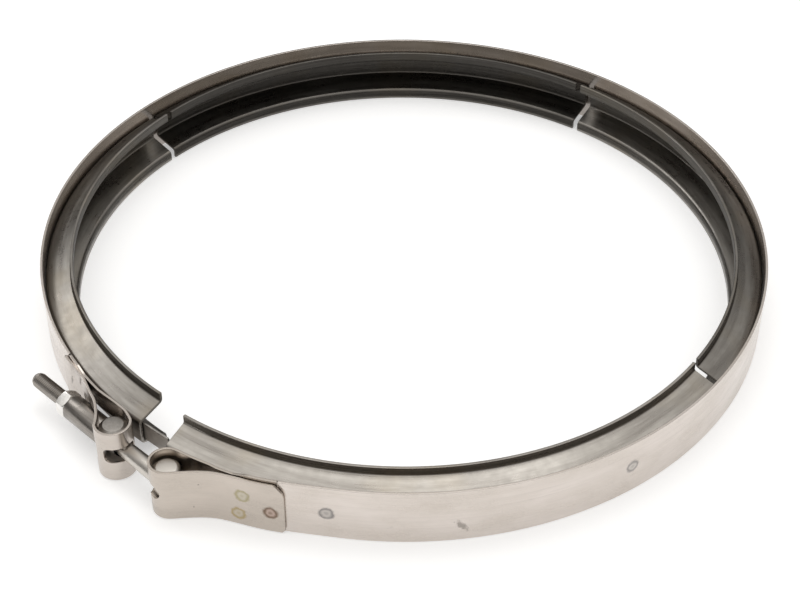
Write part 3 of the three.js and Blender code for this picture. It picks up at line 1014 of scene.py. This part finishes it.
# ---------------------------------------------------------------- finishes
def arc_u(az):
    """Running length of the front strip at an azimuth."""
    return rad(az - 360) * BAND_R


dark_ring, dark_middle = (0.20, 0.19, 0.185), (0.42, 0.40, 0.38)
front_welds = [
    (arc_u(258.78), 12.4, 2.9, dark_ring, dark_middle, 0.6),
    (arc_u(303.42), 13.3, 2.7, dark_ring, (0.50, 0.48, 0.46), 0.5)]
front_smears = [(arc_u(277.4), 7.4, (4.0, 1.6), 50, 0.75)]
right_welds = [
    (length_at(path_right, 246.89), 15.7, 2.9, (0.36, 0.32, 0.20), (0.52, 0.48, 0.39), 0.7),
    (length_at(path_right, 246.84), 6.0, 2.9, (0.38, 0.30, 0.16), (0.50, 0.45, 0.36), 0.7),
    (length_at(path_right, 250.95), 10.0, 2.8, (0.17, 0.12, 0.085), (0.46, 0.35, 0.30), 0.9)]
right_dots = [
    (length_at(path_right, 241.3), 17.9, (0.45, 0.4), 0, 0.9),
    (length_at(path_right, 240.6), 6.1, (0.4, 0.35), 0, 0.9)]
left_smears = [
    (length_at(path_left, 211.65), 14.9, (3.2, 1.0), 70, 0.6),
    (length_at(path_left, 214.8), 20.5, (3.2, 1.0), 70, 0.6)]

front_mat = polished_band("polished_strip_front", front_welds, front_smears)
strip_mat = polished_band("polished_strip")
right_mat = polished_band("polished_loop_right", right_welds, right_dots,
                          light=(0.57, 0.51, 0.455), dark=(0.49, 0.44, 0.39))
left_mat = polished_band("polished_loop_left", [], left_smears,
                         light=(0.60, 0.545, 0.50), dark=(0.52, 0.47, 0.425))
# painted shade: retainers 1 to 3 are darkened by these factors to stand in for how dark they look lit; they
# are the same sheet as retainer 4
vee_painted_shade_gain = {"v_retainer_1": 0.78, "v_retainer_2": 0.42, "v_retainer_3": 0.72, "v_retainer_4": 1.0}
plate_mat = plain_satin("satin_plate", (0.44, 0.42, 0.39), (0.34, 0.32, 0.30), 0.28, 0.4)
pin_centre = row((*latch(TRUNNION_S, BOLT_D), 0))
pin_mat = turned_steel("turned_pin", (0.38, 0.355, 0.33), (0.26, 0.245, 0.225), pin_centre)
bolt_mat = drawn_steel("bolt_steel", (0.40, 0.37, 0.34), (0.27, 0.25, 0.228), 0.26, 0.38, (0.60, 0.565, 0.52))
sleeve_mat = drawn_steel("sleeve_steel", (0.34, 0.315, 0.29), (0.23, 0.21, 0.19), 0.24, 0.36)
nut_mat = plain_satin("nut_plating", (0.90, 0.885, 0.86), (0.80, 0.78, 0.75), 0.22, 0.34, 500.0)


def finish_piece(obj, mat, body, slot, *nodes):
    obj.data.materials.clear()
    obj.data.materials.append(mat)
    if body:
        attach(obj, body)
    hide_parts(*nodes)


finish_piece(arc_left, strip_mat, None, "band_stainless", "band_section_1", "band_section_2")
finish_piece(arc_far, strip_mat, None, "band_stainless", "band_section_2", "band_section_3")
finish_piece(arc_front, front_mat, None, "band_stainless", "band_section_3", "band_section_4")
finish_piece(loop_left, left_mat, "band_left", "band_stainless", "band_section_1")
finish_piece(loop_right, right_mat, "band_front", "band_stainless", "band_section_4")
for piece, name, body in vee_pieces:
    finish_piece(piece, satin_vee("satin_" + name, vee_painted_shade_gain[name]), body, "retainer_stainless", name)
finish_piece(plate, plate_mat, "band_left", "bridge_stainless", "gap_bridge")
finish_piece(cross_pin, pin_mat, "trunnion", "pin_steel", "trunnion")
finish_piece(bolt, bolt_mat, "t_bolt", "bolt_steel", "t_bolt")
finish_piece(sleeve, sleeve_mat, "sleeve", "sleeve_steel", "spacer_sleeve")
finish_piece(nut, nut_mat, "nut", "nut_plated", "hex_nut")


def bend(piece):
    """Bakes the piece's placement into its mesh."""
    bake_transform(piece)


bend(arc_left)
bend(arc_far)
bend(arc_front)


# ---------------------------------------------------------------- stage
def stage_mat(name, grey, glow=0.0):
    m = Nodes(name)
    m.bsdf.inputs["Metallic"].default_value = 0.0
    grain = m.noise(m.place(), 6.0, 3)
    m.color(m.mix(m.ramp(grain, 0.3, 0.7), (grey,) * 3, (grey * 0.985,) * 3))
    m.bsdf.inputs["Roughness"].default_value = 0.9
    m.bsdf.inputs["Specular IOR Level"].default_value = 0.1
    if glow:
        m.bsdf.inputs["Emission Color"].default_value = (1, 1, 1, 1)
        m.bsdf.inputs["Emission Strength"].default_value = glow
    return m.mat


def stage_piece(name, outline, matrix, mat, only_reflected=False):
    """Flat piece of the stage; the camera may see it only in reflections."""
    mesh = bpy.data.meshes.new(name)
    mesh.from_pydata(outline, [], [tuple(range(len(outline)))])
    mesh.materials.append(mat)
    obj = bpy.data.objects.new(name, mesh)
    obj.matrix_world = matrix
    scene.collection.objects.link(obj)
    if only_reflected:
        obj.visible_camera = obj.visible_diffuse = obj.visible_shadow = False


def rectangle(w, h):
    return [(-w / 2, -h / 2, 0), (w / 2, -h / 2, 0), (w / 2, h / 2, 0), (-w / 2, h / 2, 0)]


def disc(r, sides=96):
    turns = [2 * math.pi * k / sides for k in range(sides)]
    return [(r * math.cos(a), r * math.sin(a), 0.0) for a in turns]


# places and sizes of the stage, in metres
on_floor = Matrix.Translation((0, 0, 0.0006))
behind = Matrix.Translation((0, 0.62, 0.17)) @ Matrix.Rotation(rad(90), 4, "X")
behind_on_floor = Matrix.Translation((0, 0.395, 0.0006))
below = Matrix.Translation((0, 0, -0.0002))
stage_piece("floor", rectangle(9.0, 9.0), below, stage_mat("floor_paper", 0.80, 0.42))
# painted shade: a grey disc on the floor inside the ring, seen only in reflections, stands in for the shade
# on the floor there
stage_piece("ring_shade_disc", disc(0.1385), on_floor, stage_mat("ring_shade_grey", 0.42), True)
stage_piece("back_card", rectangle(2.2, 0.34), behind, stage_mat("card_back", 0.045), True)
# painted shade: a dark strip on the floor behind the part, seen only in reflections, stands in for the darker
# floor there
stage_piece("floor_shade_behind", rectangle(2.2, 0.45), behind_on_floor,
            stage_mat("floor_shade_behind_grey", 0.07), True)


def soft_light(name, power, width, depth, location):
    """Rectangular light that faces the part."""
    light = bpy.data.lights.new(name, "AREA")
    light.energy, light.shape = power, "RECTANGLE"
    light.size, light.size_y = width, depth
    obj = bpy.data.objects.new(name, light)
    obj.location = location
    obj.rotation_mode = "QUATERNION"
    obj.rotation_quaternion = (-Vector(location)).to_track_quat("-Z", "Y")
    scene.collection.objects.link(obj)


soft_light("overhead", 2.2, 0.9, 0.5, (0.1, 0.35, 1.5))
soft_light("left_soft", 2.2, 0.6, 0.5, (-1.05, 0.85, 1.0))


def studio_world():
    """Soft tent: bright overhead, darker towards the horizon."""
    world = bpy.data.worlds.new("studio")
    scene.world = world
    world.use_nodes = True
    tree = world.node_tree
    coord = tree.nodes.new("ShaderNodeTexCoord")
    split = tree.nodes.new("ShaderNodeSeparateXYZ")
    ramp = tree.nodes.new("ShaderNodeValToRGB")
    tree.links.new(coord.outputs["Generated"], split.inputs[0])
    tree.links.new(split.outputs["Z"], ramp.inputs["Fac"])
    # how far up a direction points, and how bright it is there
    stops = ((0.0, 0.10), (0.17, 0.14), (0.42, 0.26), (0.66, 0.50), (0.85, 0.82), (0.97, 1.0))
    elements = ramp.color_ramp.elements
    while len(elements) < len(stops):
        elements.new(0.5)
    for element, (height, bright) in zip(elements, stops):
        element.position = height
        element.color = (bright, bright * 0.985, bright * 0.96, 1)
    background = tree.nodes["Background"]
    tree.links.new(ramp.outputs["Color"], background.inputs["Color"])
    background.inputs["Strength"].default_value = 1.35


studio_world()
scene.view_settings.view_transform = "Standard"
